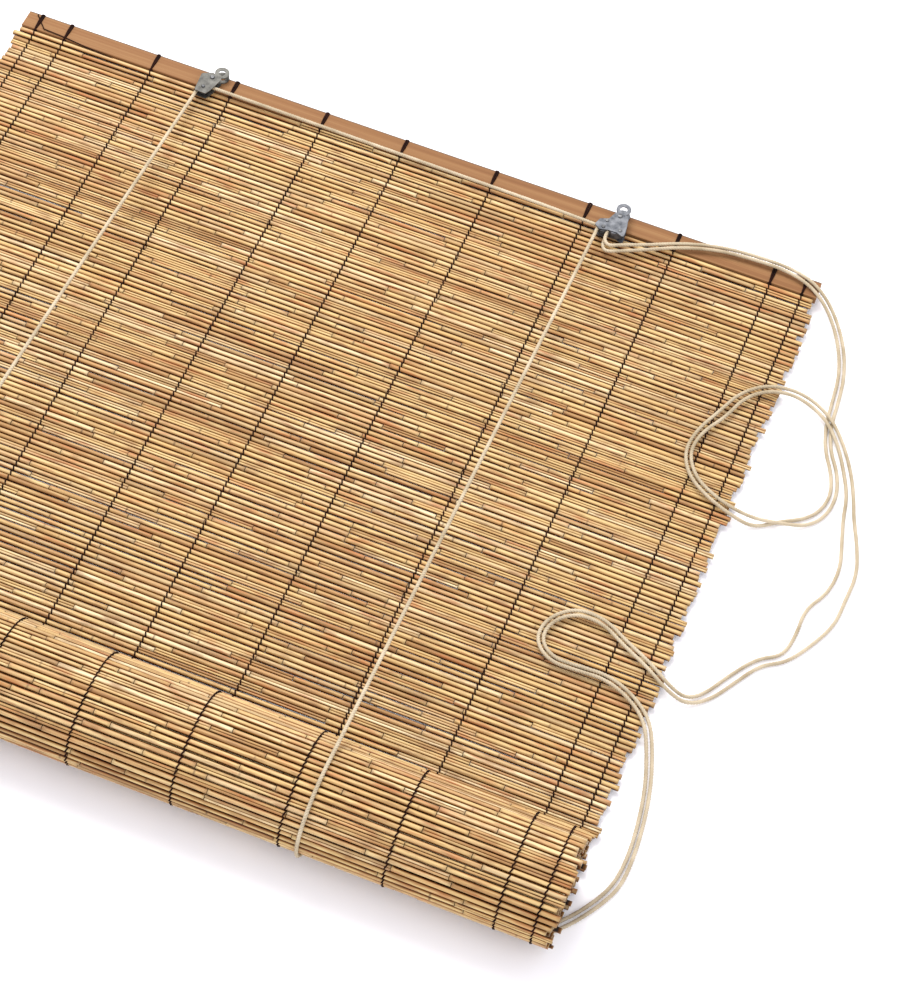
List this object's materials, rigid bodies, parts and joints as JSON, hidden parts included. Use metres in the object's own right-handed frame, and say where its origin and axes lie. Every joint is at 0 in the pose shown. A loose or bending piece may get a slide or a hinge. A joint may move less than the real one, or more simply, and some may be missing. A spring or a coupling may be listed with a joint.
{
  "type": "bamboo roll-up blind",
  "caption": "Bamboo reed roll-up blind with a slat headrail, a partly rolled reed mat tied by dark warp threads, two lift cords over a pulley and a cord lock, and free pull cords.",
  "frame": {"origin": "middle of the underside of the object's box, without the free pull cords", "axes": "+X along the headrail, +Y from the roll towards the headrail and up when hung, +Z out of the front face and up as it lies"},
  "size_m": [1.039, 0.8404, 0.096],
  "materials": {
    "slat_bamboo": "satin",
    "reeds": "matte",
    "dark_thread": "matte",
    "pulley_steel": "zinc plated",
    "lock_steel": "zinc plated",
    "staple_steel": "plain",
    "sheave_nylon": "matte",
    "cotton_cord": "matte"
  },
  "bodies": {
    "blind": {"headrail": "slat_bamboo", "reed_mat": "reeds", "warp_thread_1": "dark_thread", "warp_thread_2": "dark_thread", "warp_thread_3": "dark_thread", "warp_thread_4": "dark_thread", "warp_thread_5": "dark_thread", "warp_thread_6": "dark_thread", "warp_thread_7": "dark_thread", "warp_thread_8": "dark_thread", "warp_thread_9": "dark_thread", "warp_thread_10": "dark_thread", "warp_thread_11": "dark_thread", "cord_lock_back_plate": "lock_steel", "cord_lock_front_plate": "lock_steel", "cord_lock_spacer": "lock_steel", "cord_lock_axle": "lock_steel", "cord_lock_stay": "lock_steel", "cam_pivot": "lock_steel", "left_pulley_back_plate": "pulley_steel", "left_pulley_front_plate": "pulley_steel", "left_pulley_spacer": "pulley_steel", "left_pulley_axle": "pulley_steel", "left_pulley_fixing_screw": "pulley_steel", "cord_lock_fixing_screw": "lock_steel", "cord_staples": "staple_steel", "left_lift_cord": "cotton_cord", "right_lift_cord": "cotton_cord", "left_pull_cord": "cotton_cord", "right_pull_cord": "cotton_cord", "left_cord_knot": "cotton_cord", "right_cord_knot": "cotton_cord"},
    "roll": {"rolled_mat": "reeds", "roll_thread_1": "dark_thread", "roll_thread_2": "dark_thread", "roll_thread_3": "dark_thread", "roll_thread_4": "dark_thread", "roll_thread_5": "dark_thread", "roll_thread_6": "dark_thread", "roll_thread_7": "dark_thread", "roll_thread_8": "dark_thread", "roll_thread_9": "dark_thread", "roll_thread_10": "dark_thread", "roll_thread_11": "dark_thread"},
    "left_wheel": {"left_sheave": "sheave_nylon"},
    "lock_wheel": {"lock_sheave": "sheave_nylon"},
    "cam": {"locking_cam": "lock_steel"}
  },
  "joints": [
    {"name": "raise_roll", "type": "slide", "parent": "blind", "child": "roll", "axis": [0, 1, 0], "range_m": [0, 0.64], "deforming": ["reed_mat", "warp_thread_1", "warp_thread_2", "warp_thread_3", "warp_thread_4", "warp_thread_5", "warp_thread_6", "warp_thread_7", "warp_thread_8", "warp_thread_9", "warp_thread_10", "warp_thread_11", "left_lift_cord", "right_lift_cord", "left_pull_cord", "right_pull_cord", "left_cord_knot", "right_cord_knot"]},
    {"name": "left_sheave_turn", "type": "hinge", "parent": "blind", "child": "left_wheel", "pos_m": [-0.2346, 0.38708, 0.01893], "axis": [0, 0, 1], "continuous": true},
    {"name": "lock_sheave_turn", "type": "hinge", "parent": "blind", "child": "lock_wheel", "pos_m": [0.2196, 0.38167, 0.02043], "axis": [0, 0, 1], "continuous": true},
    {"name": "cam_swing", "type": "hinge", "parent": "blind", "child": "cam", "pos_m": [0.2375, 0.38348, 0.02043], "axis": [0, 0, 1], "range_deg": [-25, 0]}
  ],
  "couplings": [
    {"joint": "left_sheave_turn", "follows": "raise_roll", "rad_per_m": -363.64},
    {"joint": "lock_sheave_turn", "follows": "raise_roll", "rad_per_m": -363.64}
  ]
}
